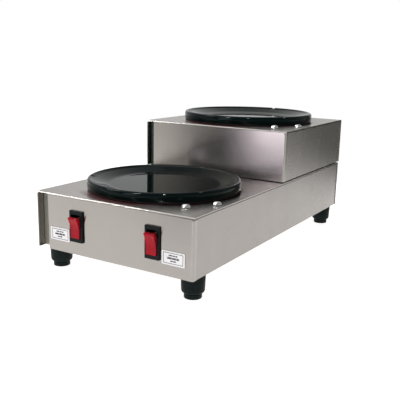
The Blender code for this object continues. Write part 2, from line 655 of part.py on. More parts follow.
for switch_side in SWITCH_X:
    add_switch(switch_side, lower_wrap)
add_labels()
add_inlet(lower_wrap)
add_grommet(lower_wrap)
add_terminal_block()
add_wires()
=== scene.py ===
"""Looks for the two-tier decanter warmer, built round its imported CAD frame.

Lengths are in metres in the frame's own axes: +X is the warmer's right, -Y its front, +Z up.
"""

import json
import math

import bmesh
import bpy
from mathutils import Matrix, Vector


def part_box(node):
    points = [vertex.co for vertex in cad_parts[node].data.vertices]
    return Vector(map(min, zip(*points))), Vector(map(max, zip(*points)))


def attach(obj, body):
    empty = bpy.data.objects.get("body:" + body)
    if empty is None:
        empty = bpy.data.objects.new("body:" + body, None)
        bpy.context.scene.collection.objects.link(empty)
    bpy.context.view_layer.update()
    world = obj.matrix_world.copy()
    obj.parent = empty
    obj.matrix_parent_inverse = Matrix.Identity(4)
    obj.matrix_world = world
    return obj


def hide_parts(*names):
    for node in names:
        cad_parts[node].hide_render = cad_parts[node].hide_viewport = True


MM = 0.001

# Camera
CAMERA_PLACE = Vector((391.7, -671.4, 234.2)) * MM
CAMERA_AZIMUTH = math.radians(30.99)
CAMERA_ELEVATION = math.radians(13.03)
CAMERA_ROLL = math.radians(1.28)
CAMERA_LENS = 55.71  # mm, on a 36 mm sensor

# Studio: the table's corners, the room as the steel sees it, and the lights
TABLE = ((-1.3, -0.62), (1.0, 0.50))
TABLE_GLOW = 0.88
ROOM_BANDS = (
    (-180, (0.9, 0.88, 0.92)),
    (-165, (3.1, 2.90, 3.25)),
    (-154, (3.1, 2.90, 3.25)),
    (-152.8, (0.02, 0.02, 0.015)),
    (-148.4, (0.02, 0.02, 0.015)),
    (-145.5, (0.72, 0.70, 0.67)),
    (-134, (1.05, 1.02, 0.98)),
    (-120, (0.75, 0.74, 0.72)),
    (-60, (0.72, 0.73, 0.73)),
    (-30, (0.78, 0.78, 0.78)),
    (-3, (0.7, 0.7, 0.68)),
    (12, (0.14, 0.14, 0.13)),
    (22, (0.16, 0.16, 0.15)),
    (29, (0.55, 0.55, 0.52)),
    (140, (0.40, 0.40, 0.40)),
)
CEILING_FROM = (0.45, 0.75)  # heights of a bearing, as a part of 1 straight up
CEILING_COLOUR = (0.30, 0.30, 0.30)
OVERHEAD = ((-0.80, 0.0, 1.8), (2.0, 1.7), 15)
STRIPS = {
    "left_strip": ((-1.35, -0.69, 1.40), (0.07, 0.8), 7),
    "front_left_strip": ((-0.36, -1.40, 1.50), (0.07, 0.8), 15),
    "front_strip": ((0.63, -1.05, 1.80), (0.07, 0.8), 22),
}

# Cabinet sheet
SHEET = 1.2 * MM
BEND = 2.2 * MM
SEAM = 0.9 * MM  # dark joint under the deck's edge
RISER_JOINT = 0.8 * MM
CORNER_FLANGE = 6.0 * MM
CORNER_INSET = 0.3 * MM
RELIEF_RADIUS = 0.8 * MM
CORNER_GAP = 0.35 * MM  # between the turned corner and the deck's bend
DECK_HOLE_RADIUS = 62.5 * MM
SCREW_HOLE_RADIUS = 2.4 * MM
GROMMET_HOLE_RADIUS = 6.5 * MM
BUSHING_HOLE_RADIUS = 7.9 * MM
SWITCH_OPENING = (15.6 * MM, 30.2 * MM)
CUT_REACH = 4.0 * MM  # how far a cutter stands out of the sheet it cuts
CHANNEL_FOLD = 1.6 * MM

# Plate rim
PLATE_SHEET = 1.5 * MM
LIP_RADIUS = 3.0 * MM
SEAT_RADIUS = 62.0 * MM
SEAT_RISE = 5.3 * MM
PLATE_CLEAR = 2.5 * MM
NOTCH_ANGLES = (-30, 90, 210)
NOTCH_HALF_WIDTH = 3.0 * MM
NOTCH_DEPTH = 1.3 * MM
NOTCH_BAND = 8.0 * MM  # width of the rim that a notch presses down
GASKET_WIDTH = 10.6 * MM

# Switch: bezel, body, window and rocker, the last about its pivot in mid position
BEZEL_DEPTH = 1.8 * MM
TUB = (15.0 * MM, 29.6 * MM)
TRUNNION_REACH = 0.9 * MM
ROCKER_HALF = 11.6 * MM
ROCKER_TIP = 6.4 * MM
ROCKER_WAIST = 4.7 * MM
ROCKER_TILT = math.radians(11)
TRUNNION_RADIUS = 1.3 * MM
WINDOW = (12.6 * MM, 25.8 * MM)
WINDOW_DEPTH = 18.4 * MM

# Label: inset frame, and rows of bars as (height, half height, ((start, length) in mm, ...))
LABEL_INSET = (1.9 * MM, 1.5 * MM)
LABEL_LINE = 0.6 * MM
INK_DEPTH = 0.03 * MM
INK_PROUD = 0.015 * MM
LABEL_ROWS = (
    (2.8 * MM, 0.65 * MM, ((-5.0, 4.2), (-0.3, 2.4), (2.6, 2.4))),
    (0.0, 0.95 * MM, ((-6.8, 5.4), (-1.0, 4.4), (3.8, 3.0))),
    (-2.8 * MM, 0.65 * MM, ((-3.2, 2.8), (0.1, 3.1))),
)

# Feet
FOOT_BORE = 4.0 * MM
STUD_RADIUS = 3.7 * MM
PAD_SHOULDER = 5.2 * MM


# ---------------------------------------------------------------- node helpers


class Shader:
    """A material being made: its node tree, and short ways to add nodes to it."""

    def __init__(self, name, colour, roughness, metallic=0.0, **sockets):
        self.material = bpy.data.materials.new(name)
        self.material.use_nodes = True
        self.tree = self.material.node_tree
        self.bsdf = self.tree.nodes["Principled BSDF"]
        self.set("Base Color", (*colour, 1.0))
        self.set("Roughness", roughness)
        self.set("Metallic", metallic)
        for socket, value in sockets.items():
            self.set(socket.replace("_", " "), value)
        self.place = self.add("ShaderNodeTexCoord").outputs["Object"]

    def set(self, socket, value):
        self.bsdf.inputs[socket].default_value = value

    def add(self, kind, **settings):
        node = self.tree.nodes.new(kind)
        for name, value in settings.items():
            setattr(node, name, value)
        return node

    def link(self, output, socket):
        target = self.bsdf.inputs[socket] if isinstance(socket, str) else socket
        self.tree.links.new(output, target)

    def stretch(self, scale, turn=(0, 0, 0)):
        mapping = self.add("ShaderNodeMapping")
        mapping.inputs["Scale"].default_value = scale
        mapping.inputs["Rotation"].default_value = turn
        self.link(self.place, mapping.inputs["Vector"])
        return mapping.outputs["Vector"]

    def noise(self, place, scale, detail=3.0, roughness=0.55, distortion=0.0):
        node = self.add("ShaderNodeTexNoise")
        self.link(place, node.inputs["Vector"])
        node.inputs["Scale"].default_value = scale
        node.inputs["Detail"].default_value = detail
        node.inputs["Roughness"].default_value = roughness
        node.inputs["Distortion"].default_value = distortion
        return node.outputs["Fac"]

    def ranged(self, value, low, high, from_low=0.3, from_high=0.7):
        node = self.add("ShaderNodeMapRange")
        self.link(value, node.inputs["Value"])
        node.inputs["From Min"].default_value = from_low
        node.inputs["From Max"].default_value = from_high
        node.inputs["To Min"].default_value = low
        node.inputs["To Max"].default_value = high
        return node.outputs["Result"]

    def maths(self, operation, first, second):
        node = self.add("ShaderNodeMath", operation=operation)
        for socket, value in zip(node.inputs, (first, second)):
            if isinstance(value, (int, float)):
                socket.default_value = value
            else:
                self.link(value, socket)
        return node.outputs["Value"]

    def vector_maths(self, operation, first, second=(0, 0, 0)):
        node = self.add("ShaderNodeVectorMath", operation=operation)
        for socket, value in zip(node.inputs, (first, second)):
            if isinstance(value, (tuple, Vector)):
                socket.default_value = value
            else:
                self.link(value, socket)
        return node.outputs["Value" if operation in ("LENGTH", "DOT_PRODUCT") else "Vector"]

    def blend(self, factor, first, second):
        """A colour between two, each a tuple or an output."""
        node = self.add("ShaderNodeMix", data_type="RGBA")
        self.link(factor, node.inputs["Factor"])
        sockets = [socket for socket in node.inputs if socket.type == "RGBA"]
        for socket, value in zip(sockets, (first, second)):
            if isinstance(value, tuple):
                socket.default_value = (*value, 1.0)
            else:
                self.link(value, socket)
        return next(socket for socket in node.outputs if socket.type == "RGBA")

    def bump(self, height, distance, strength=1.0, onto=None):
        node = self.add("ShaderNodeBump")
        node.inputs["Strength"].default_value = strength
        node.inputs["Distance"].default_value = distance
        self.link(height, node.inputs["Height"])
        if onto is not None:
            self.link(onto, node.inputs["Normal"])
        return node.outputs["Normal"]


def tinted(colour, factor):
    return tuple(channel * factor for channel in colour)


# ---------------------------------------------------------------- materials

STEEL_COLOUR = (0.385, 0.362, 0.342)
STEEL_ROUGHNESS = 0.26
DECK_ROUGHNESS = 0.19
# Dull dark red-brown of a matt patch on the deck just in front of each plate
DECK_RED_BROWN = (0.100, 0.012, 0.013)
TINTED_SIDE = (-0.10, -0.995, 0)  # where the deck is narrowest, a little to the left
GRAIN = {"X": (0.03, 1, 1), "Y": (1, 0.03, 1), "Z": (1, 1, 0.03)}
ALONG = {"X": (1, 0, 0), "Y": (0, 1, 0), "Z": (0, 0, 1)}


def red_brown_patch(s, sheet, centre, radius):
    """A dull red-brown, matt patch on the narrow strip of deck just in front of a warmer plate."""
    offset = s.vector_maths("MULTIPLY", s.vector_maths("SUBTRACT", s.place, centre), (1, 1, 0))
    distance = s.vector_maths("LENGTH", offset)
    side = s.vector_maths("DOT_PRODUCT", s.vector_maths("NORMALIZE", offset), TINTED_SIDE)
    facing = s.ranged(side, 0, 1, 0.78, 0.94)
    near = s.ranged(distance, 0.92, 0, radius + 6 * MM, radius + 11.4 * MM)
    tinted_part = s.maths("MULTIPLY", facing, near)
    s.link(s.maths("SUBTRACT", 1.0, tinted_part), "Metallic")
    return s.blend(tinted_part, sheet, DECK_RED_BROWN)


def brushed_steel(name, along, colour=STEEL_COLOUR, roughness=STEEL_ROUGHNESS, plate=None):
    """Satin sheet: a fine grain along one axis, which smears what it mirrors across the grain.

    A deck also takes its warmer plate, as (centre, radius), for the red-brown patch in front of it.
    """
    s = Shader(name, colour, roughness, 1.0, Anisotropic=1.0, Anisotropic_Rotation=0.25)
    direction = s.add("ShaderNodeCombineXYZ")
    for socket, value in zip(direction.inputs, ALONG[along]):
        socket.default_value = value
    s.link(direction.outputs["Vector"], "Tangent")
    grain_place = s.stretch(GRAIN[along])
    fine = s.noise(grain_place, 2600, 2.0, 0.6)
    coarse = s.noise(grain_place, 420, 3.0, 0.65)
    smears = s.noise(s.place, 22, 3.0, 0.5, 0.6)
    streaks = s.maths("ADD", s.maths("MULTIPLY", fine, 0.7), s.maths("MULTIPLY", coarse, 0.3))
    sheet = s.blend(s.ranged(streaks, 0, 1), tinted(colour, 0.985), tinted(colour, 1.015))
    if plate:
        sheet = red_brown_patch(s, sheet, *plate)
    s.link(sheet, "Base Color")
    gloss = s.ranged(smears, roughness - 0.015, roughness + 0.02)
    s.link(s.maths("ADD", s.ranged(streaks, -0.01, 0.01), gloss), "Roughness")
    return s.material


def black_enamel():
    """Glossy vitreous enamel: near black with a green cast and the faintest orange peel."""
    colour = (0.0016, 0.0060, 0.0058)
    s = Shader("black_enamel", colour, 0.04, IOR=1.18)
    s.set("Specular Tint", (0.84, 1.0, 0.95, 1.0))
    clouds = s.ranged(s.noise(s.place, 60), 0, 1)
    s.link(s.blend(clouds, tinted(colour, 0.8), tinted(colour, 1.3)), "Base Color")
    s.link(s.ranged(s.noise(s.place, 35, 4.0), 0.03, 0.05), "Roughness")
    peel = s.bump(s.noise(s.place, 260, 1.5, 0.4), 0.02 * MM, 0.15)
    s.link(s.bump(s.noise(s.place, 16, 1.0), 0.3 * MM, 0.06, peel), "Normal")
    return s.material


def red_silicone():
    # Near black rather than dark red: painted shade of the gap under the plate's skirt, where the ring sits.
    colour = (0.012, 0.003, 0.0033)
    s = Shader("red_silicone", colour, 0.5, Specular_IOR_Level=0.15)
    clouds = s.ranged(s.noise(s.place, 180), 0, 1)
    s.link(s.blend(clouds, tinted(colour, 0.8), tinted(colour, 1.2)), "Base Color")
    s.link(s.bump(s.noise(s.place, 900, 2.0), 0.03 * MM, 0.4), "Normal")
    return s.material


def chrome():
    s = Shader("chrome", (0.62, 0.62, 0.63), 0.09, 1.0)
    s.link(s.ranged(s.noise(s.place, 700, 2.0), 0.07, 0.13), "Roughness")
    s.link(s.bump(s.noise(s.place, 1500, 1.0), 0.01 * MM, 0.15), "Normal")
    return s.material


def moulded(name, colour, roughness, grain=0.03, size=1400, **sockets):
    """Moulded plastic: fine spark-eroded grain and a faint change of gloss."""
    s = Shader(name, colour, roughness, **sockets)
    patches = s.ranged(s.noise(s.place, 90), 0, 1)
    s.link(s.blend(patches, tinted(colour, 0.88), tinted(colour, 1.12)), "Base Color")
    s.link(s.ranged(s.noise(s.place, 240, 4.0), roughness - 0.05, roughness + 0.06), "Roughness")
    s.link(s.bump(s.noise(s.place, size, 2.0), grain * MM, 0.5), "Normal")
    return s.material


def red_rocker():
    """Translucent red plastic, glossy, a little deeper in its thick parts."""
    colour = (0.36, 0.005, 0.014)
    s = Shader("red_rocker", colour, 0.18, Specular_IOR_Level=0.14, Subsurface_Weight=0.2)
    s.set("Subsurface Radius", (1.0, 0.08, 0.06))
    s.set("Subsurface Scale", 1.5 * MM)
    depth = s.ranged(s.noise(s.stretch((1, 1, 0.25)), 320, 2.0), 0, 1)
    s.link(s.blend(depth, tinted(colour, 0.72), tinted(colour, 1.15)), "Base Color")
    s.link(s.bump(s.noise(s.place, 420, 1.0), 0.05 * MM, 0.2), "Normal")
    return s.material


def rubber():
    """Matt moulded rubber with a slight bloom and fine pitting."""
    colour = (0.0045, 0.0085, 0.0080)
    s = Shader("black_rubber", colour, 0.48, Specular_IOR_Level=0.10)
    bloom = s.ranged(s.noise(s.place, 120, 5.0, 0.6), 0, 1, 0.4, 0.75)
    s.link(s.blend(bloom, colour, tinted(colour, 2.0)), "Base Color")
    s.link(s.ranged(s.noise(s.place, 300, 3.0), 0.38, 0.58), "Roughness")
    s.link(s.bump(s.noise(s.place, 1600, 3.0), 0.05 * MM, 0.5), "Normal")
    return s.material


def printed_white():
    s = Shader("label_white", (0.87, 0.87, 0.86), 0.34)
    clouds = s.ranged(s.noise(s.place, 300), 0, 1)
    s.link(s.blend(clouds, (0.84, 0.84, 0.83), (0.89, 0.89, 0.88)), "Base Color")
    s.link(s.bump(s.noise(s.place, 2200, 2.0), 0.01 * MM, 0.4), "Normal")
    return s.material


def fibrous(name, colour, contrast, size):
    """Pressed wool or flaky mica: soft blotches and rough fibres."""
    s = Shader(name, colour, 0.9)
    fibres = s.noise(s.stretch((1, 0.3, 1)), size, 6.0, 0.7, 1.5)
    low, high = tinted(colour, 1 - contrast), tinted(colour, 1 + contrast / 2)
    s.link(s.blend(s.ranged(fibres, 0, 1), low, high), "Base Color")
    s.link(s.bump(fibres, 0.4 * MM, 0.6), "Normal")
    return s.material


def plated(name, colour, roughness):
    """Plated or bare sheet that nobody polishes: cloudy gloss and small marks."""
    s = Shader(name, colour, roughness, 1.0)
    clouds = s.ranged(s.noise(s.place, 130, 4.0), 0, 1)
    s.link(s.blend(clouds, tinted(colour, 0.85), tinted(colour, 1.1)), "Base Color")
    s.link(s.ranged(s.noise(s.place, 60, 5.0), roughness - 0.08, roughness + 0.12), "Roughness")
    s.link(s.bump(s.noise(s.place, 900, 3.0), 0.02 * MM, 0.3), "Normal")
    return s.material


def braided(name, colour):
    """A woven sleeve: two crossing families of threads."""
    s = Shader(name, colour, 0.75)
    waves = []
    for lean in (0.9, -0.9):
        wave = s.add("ShaderNodeTexWave")
        s.link(s.stretch((1, 1, 1), (lean, lean, 0)), wave.inputs["Vector"])
        wave.inputs["Scale"].default_value = 420
        waves.append(wave.outputs["Fac"])
    threads = s.maths("MAXIMUM", *waves)
    s.link(s.blend(threads, tinted(colour, 0.6), tinted(colour, 1.1)), "Base Color")
    s.link(s.bump(threads, 0.15 * MM, 0.7), "Normal")
    return s.material


def lamp_glass():
    s = Shader("lamp_glass", (0.95, 0.62, 0.45), 0.05, Transmission_Weight=0.85, IOR=1.47)
    s.link(s.bump(s.noise(s.place, 500, 1.0), 0.02 * MM, 0.2), "Normal")
    return s.material


def make_finishes():
    """One material for each of the record's slots."""
    return {
        "stainless": brushed_steel("stainless", "X"),
        "black_enamel": black_enamel(),
        "red_silicone": red_silicone(),
        "mica": fibrous("mica", (0.52, 0.44, 0.33), 0.35, 260),
        "mineral_wool": fibrous("mineral_wool", (0.70, 0.68, 0.60), 0.25, 420),
        "plated_steel": plated("plated_steel", (0.56, 0.57, 0.58), 0.34),
        "chrome": chrome(),
        "black_nylon": moulded("black_nylon", (0.0045, 0.0075, 0.0085), 0.30, Specular_IOR_Level=0.12),
        "white_nylon": moulded("white_nylon", (0.78, 0.77, 0.72), 0.45),
        "red_rocker": red_rocker(),
        "brass": plated("brass", (0.72, 0.53, 0.25), 0.26),
        "lamp_glass": lamp_glass(),
        "label_white": printed_white(),
        "black_rubber": rubber(),
        "phenolic": moulded("phenolic", (0.085, 0.05, 0.032), 0.4, 0.06, 700),
        "wire_insulation": braided("wire_insulation", (0.68, 0.66, 0.60)),
    }


# ---------------------------------------------------------------- mesh helpers


def arc(centre, radius, start, end, steps):
    """Points of an arc in a plane, angles in degrees, both ends included."""
    angles = [math.radians(start + (end - start) * i / steps) for i in range(steps + 1)]
    return [(centre[0] + radius * math.cos(a), centre[1] + radius * math.sin(a)) for a in angles]


def prism_mesh(outline, low, high, axis):
    """A closed outline pushed from low to high: (y, z) along X, (x, z) along Y, (x, y) along Z."""
    place = {
        "X": lambda u, v, along: (along, u, v),
        "Y": lambda u, v, along: (u, along, v),
        "Z": lambda u, v, along: (u, v, along),
    }[axis]
    bm = bmesh.new()
    ends = [[bm.verts.new(place(u, v, along)) for u, v in outline] for along in (low, high)]
    for end in ends:
        bm.faces.new(end)
    for i in range(len(outline)):
        j = (i + 1) % len(outline)
        bm.faces.new((ends[0][i], ends[0][j], ends[1][j], ends[1][i]))
    return bm


def box_mesh(low, high):
    outline = [(low[0], low[1]), (high[0], low[1]), (high[0], high[1]), (low[0], high[1])]
    return prism_mesh(outline, low[2], high[2], "Z")


def rounded_outline(half_u, half_v, radius, steps=6):
    """A rectangle with round corners, about (0, 0)."""
    outline = []
    for start, u, v in ((0, 1, 1), (90, -1, 1), (180, -1, -1), (270, 1, -1)):
        outline += arc((u * (half_u - radius), v * (half_v - radius)), radius, start, start + 90, steps)
    return outline


def turned_mesh(profile, segments=96, axis="Z", shift=None):
    """A closed (radius, height) profile turned about an axis. shift(radius, height, angle) moves heights."""
    bm = bmesh.new()
    rings = []
    for radius, height in profile:
        ring = []
        for i in range(segments if radius > 0 else 1):
            angle = 2 * math.pi * i / segments
            z = height + (shift(radius, height, angle) if shift else 0)
            ring.append(bm.verts.new((radius * math.cos(angle), radius * math.sin(angle), z)))
        rings.append(ring)
    for near, far in zip(rings, rings[1:] + rings[:1]):
        for i in range(segments):
            j = (i + 1) % segments
            corners = (near[i % len(near)], near[j % len(near)], far[j % len(far)], far[i % len(far)])
            unique = list(dict.fromkeys(corners))
            if len(unique) > 2:
                bm.faces.new(unique)
    turns = {
        "X": Matrix.Rotation(math.pi / 2, 4, "Y"),
        "Y": Matrix.Rotation(-math.pi / 2, 4, "X"),
        "Z": Matrix.Identity(4),
    }
    bm.transform(turns[axis])
    return bm


def rod_mesh(radius, low, high, segments, axis="Z"):
    return turned_mesh([(0, low), (radius, low), (radius, high), (0, high)], segments, axis)


def new_object(name, bm, smooth_angle=32):
    bmesh.ops.recalc_face_normals(bm, faces=bm.faces)
    mesh = bpy.data.meshes.new(name)
    bm.to_mesh(mesh)
    bm.free()
    mesh.shade_smooth()
    mesh.set_sharp_from_angle(angle=math.radians(smooth_angle))
    obj = bpy.data.objects.new(name, mesh)
    bpy.context.scene.collection.objects.link(obj)
    return obj


def combine(target, bm, operation):
    """Joins a mesh to the target or cuts it away, for good."""
    helper = new_object("helper", bm)
    modifier = target.modifiers.new("combine", "BOOLEAN")
    modifier.operation = operation
    modifier.object = helper
    modifier.solver = "EXACT"
    graph = bpy.context.evaluated_depsgraph_get()
    mesh = bpy.data.meshes.new_from_object(target.evaluated_get(graph))
    target.modifiers.clear()
    target.data = mesh
    bpy.data.objects.remove(helper, do_unlink=True)


def soften(obj, width, segments=3, angle=32):
    """Rounds an object's sharp edges, and keeps its flat faces flat."""
    obj.data.shade_smooth()
    obj.data.set_sharp_from_angle(angle=math.radians(angle))
    bevel = obj.modifiers.new("edges", "BEVEL")
    bevel.width = width
    bevel.segments = segments
    bevel.limit_method = "ANGLE"
    bevel.angle_limit = math.radians(angle)
    normals = obj.modifiers.new("normals", "WEIGHTED_NORMAL")
    normals.keep_sharp = True


def finish_piece(obj, slot, body="cabinet", replaces=(), material=None):
    obj.data.materials.clear()
    obj.data.materials.append(material or FINISH[slot])
    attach(obj, body)
    if replaces:
        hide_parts(*replaces)
    return obj


def middle(node):
    low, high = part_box(node)
    return (low + high) / 2


# ---------------------------------------------------------------- cabinet


def joint_under(tier):
    """Height of the dark joint that the riser's sheets leave above the lower deck."""
    return RISER_JOINT if tier == "upper" else 0.0


def add_housing(tier):
    """A tier's bent sheet: front, deck and back, with the front turned round the right corner."""
    low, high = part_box(f"{tier}_housing")
    front, back, bottom, deck = low.y, high.y, low.z + joint_under(tier), high.z
    recess_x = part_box(f"{tier}_corner_channel")[1].x - SHEET
    inner = BEND - SHEET
    outline = [(front, bottom)]
    outline += arc((front + BEND, deck - BEND), BEND, 180, 90, 10)
    outline += arc((back - BEND, deck - BEND), BEND, 90, 0, 10)
    outline += [(back, bottom), (back - SHEET, bottom)]
    outline += arc((back - BEND, deck - BEND), inner, 0, 90, 6)
    outline += arc((front + BEND, deck - BEND), inner, 90, 180, 6)
    outline += [(front + SHEET, bottom)]
    obj = new_object(f"{tier}_housing_sheet", prism_mesh(outline, low.x, high.x, "X"))

    corner_x = high.x - CORNER_INSET
    corner_top = deck - BEND - CORNER_GAP
    recess = box_mesh((low.x - MM, front - MM, bottom - MM), (recess_x, front + 2 * MM, deck - SHEET))
    combine(obj, recess, "DIFFERENCE")
    corner = box_mesh((corner_x - BEND, front - MM, bottom - MM), (high.x + MM, front + 2.6 * MM, corner_top))
    combine(obj, corner, "DIFFERENCE")
    turn = [(corner_x - BEND - 2 * MM, front), *arc((corner_x - BEND, front + BEND), BEND, 270, 360, 10)]
    turn += [(corner_x, front + CORNER_FLANGE), (corner_x - SHEET, front + CORNER_FLANGE)]
    turn += arc((corner_x - BEND, front + BEND), inner, 360, 270, 6)
    turn += [(corner_x - BEND - 2 * MM, front + SHEET)]
    combine(obj, prism_mesh(turn, bottom, corner_top, "Z"), "UNION")
    relief = rod_mesh(RELIEF_RADIUS, -CUT_REACH, CUT_REACH, 24, "Y")
    relief.transform(Matrix.Rotation(math.radians(-45), 4, "Z"))
    relief.transform(Matrix.Translation((corner_x - 0.8 * MM, front + 0.9 * MM, corner_top + 0.3 * MM)))
    combine(obj, relief, "DIFFERENCE")

    centre = middle(f"{tier}_warmer_plate")
    holes = [(centre, DECK_HOLE_RADIUS, 96)]
    holes += [(middle(f"{tier}_dome_screw_{number}"), SCREW_HOLE_RADIUS, 24) for number in (1, 2)]
    if tier == "lower":
        holes.append((middle("riser_grommet"), GROMMET_HOLE_RADIUS, 48))
    for place, radius, segments in holes:
        hole = rod_mesh(radius, -CUT_REACH, CUT_REACH, segments)
        hole.transform(Matrix.Translation((place.x, place.y, deck)))
        combine(obj, hole, "DIFFERENCE")
    if tier == "lower":
        for side in ("left", "right"):
            place = middle(f"{side}_switch_body")
            place.y = front
            reach = Vector((SWITCH_OPENING[0] / 2, CUT_REACH, SWITCH_OPENING[1] / 2))
            combine(obj, box_mesh(place - reach, place + reach), "DIFFERENCE")
        place = middle("cord_bushing")
        hole = rod_mesh(BUSHING_HOLE_RADIUS, -CUT_REACH, CUT_REACH, 48, "Y")
        hole.transform(Matrix.Translation((place.x, back, place.z)))
        combine(obj, hole, "DIFFERENCE")
    soften(obj, 0.22 * MM)
    low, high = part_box(f"{tier}_warmer_plate")
    plate = (centre, (high.x - low.x) / 2)
    steel = brushed_steel(f"stainless_{tier}_deck", "X", STEEL_COLOUR, DECK_ROUGHNESS, plate)
    finish_piece(obj, "stainless", replaces=[f"{tier}_housing"], material=steel)


def add_side_panels(tier):
    """Flat side sheets, let in under the deck's edge and behind the turned corner."""
    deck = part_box(f"{tier}_housing")[1].z
    for side in ("left", "right"):
        low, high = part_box(f"{tier}_{side}_panel")
        top = deck - SHEET - SEAM
        foot = Vector((low.x, low.y, low.z + joint_under(tier)))
        obj = new_object(f"{tier}_{side}_panel_sheet", box_mesh(foot, (high.x, high.y, top)))
        soften(obj, 0.25 * MM)
        finish_piece(obj, "stainless", replaces=[f"{tier}_{side}_panel"], material=SIDE_STEEL)


def add_corner_channel(tier):
    """The folded strip that closes the open left corner, with round folds, in a darker copy of the steel that
    paints in its recess's shade.
    """
    low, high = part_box(f"{tier}_corner_channel")
    x0, x1, y0, y1 = low.x, high.x - SHEET, low.y, high.y - SHEET
    fold = CHANNEL_FOLD
    outline = [(x0, y1), *arc((x1 - 0.4 * MM, y1 - 0.4 * MM), 0.4 * MM, 90, 0, 4), (x1, y0)]
    outline += [(x1 + SHEET, y0), *arc((high.x - fold, high.y - fold), fold, 0, 90, 6), (x0, high.y)]
    obj = new_object(f"{tier}_corner_fold", prism_mesh(outline, low.z, high.z, "Z"))
    soften(obj, 0.2 * MM)
    finish_piece(obj, "stainless", replaces=[f"{tier}_corner_channel"], material=CORNER_SHADE_STEEL[tier])


# ---------------------------------------------------------------- warmers


def plate_profile(radius, rise):
    lip = (radius - LIP_RADIUS, rise - LIP_RADIUS)
    under = SEAT_RISE - PLATE_SHEET
    top = [(0, SEAT_RISE), (SEAT_RADIUS - 4 * MM, SEAT_RISE), (SEAT_RADIUS, SEAT_RISE + 0.05 * MM)]
    top += [(SEAT_RADIUS + 1.5 * MM, SEAT_RISE + 0.2 * MM), (SEAT_RADIUS + 4 * MM, SEAT_RISE + 0.75 * MM)]
    inner = (lip[0] - 3.2 * MM, rise - 1.5 * MM)
    start = top[-1]
    for i in range(1, 6):
        t = i / 6
        top.append((start[0] + (inner[0] - start[0]) * t, start[1] + (inner[1] - start[1]) * t))
    top += [inner, (lip[0] - 2.2 * MM, rise - 0.8 * MM), (lip[0] - 1.2 * MM, rise - 0.25 * MM)]
    top += arc(lip, LIP_RADIUS, 90, 0, 10)
    skirt = [(radius, PLATE_CLEAR + 0.4 * MM), (radius - 0.3 * MM, PLATE_CLEAR)]
    skirt += [(radius - PLATE_SHEET, PLATE_CLEAR)]
    inside = arc(lip, LIP_RADIUS - PLATE_SHEET, 0, 90, 5)
    inside += [(lip[0] - 3.0 * MM, rise - 3.0 * MM), (SEAT_RADIUS + 2 * MM, under)]
    return top + skirt + inside + [(3 * MM, under), (3 * MM, -20 * MM), (0, -20 * MM)]


def add_plate(tier):
    """The enamelled plate, its rim pressed down in three small notches."""
    low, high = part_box(f"{tier}_warmer_plate")
    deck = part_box(f"{tier}_housing")[1].z
    radius, rise = (high.x - low.x) / 2, high.z - deck
    centre = Vector(((low.x + high.x) / 2, (low.y + high.y) / 2, deck))

    def notch(r, height, angle):
        if r < radius - NOTCH_BAND or height < rise - 6 * MM:
            return 0
        away = min(abs(math.remainder(angle - math.radians(a), 2 * math.pi)) for a in NOTCH_ANGLES)
        across = away * r / NOTCH_HALF_WIDTH
        inward = min(1, (r - radius + NOTCH_BAND) / (3.5 * MM))
        return -NOTCH_DEPTH * inward * (0.5 + 0.5 * math.cos(math.pi * across)) if across < 1 else 0

    bm = turned_mesh(plate_profile(radius, rise), 360, shift=notch)
    bm.transform(Matrix.Translation(centre))
    obj = new_object(f"{tier}_enamel_plate", bm, 50)
    finish_piece(obj, "black_enamel", replaces=[f"{tier}_warmer_plate"])

    low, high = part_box(f"{tier}_plate_gasket")
    outer, inner = (high.x - low.x) / 2, (high.x - low.x) / 2 - GASKET_WIDTH
    half = (high.z - low.z) / 2
    ring = arc((outer - half, half), half, -90, 90, 6) + arc((inner + half, half), half, 90, 270, 6)
    bm = turned_mesh(ring, 160)
    bm.transform(Matrix.Translation((centre.x, centre.y, low.z)))
    finish_piece(new_object(f"{tier}_gasket_ring", bm), "red_silicone", replaces=[f"{tier}_plate_gasket"])


def add_dome_screws(tier):
    for number in (1, 2):
        low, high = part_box(f"{tier}_dome_screw_{number}")
        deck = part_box(f"{tier}_housing")[1].z
        radius = (high.x - low.x) / 2
        rise = high.z - deck
        shank, brim = 2 * MM, 0.85 * MM
        profile = [(0, low.z - deck), (shank, low.z - deck), (shank, 0.25 * MM)]
        profile += [(radius - 0.25 * MM, 0.25 * MM), (radius, 0.55 * MM), (radius - 0.15 * MM, brim)]
        for degrees in range(0, 90, 9):
            angle = math.radians(degrees)
            dome = (radius - 0.55 * MM) * math.cos(angle)
            profile.append((dome, brim + (rise - brim) * math.sin(angle)))
        bm = turned_mesh([*profile, (0, rise)], 48)
        bm.transform(Matrix.Translation(((low.x + high.x) / 2, (low.y + high.y) / 2, deck)))
        obj = new_object(f"{tier}_dome_{number}", bm, 50)
        finish_piece(obj, "chrome", replaces=[f"{tier}_dome_screw_{number}"])


# ---------------------------------------------------------------- switches


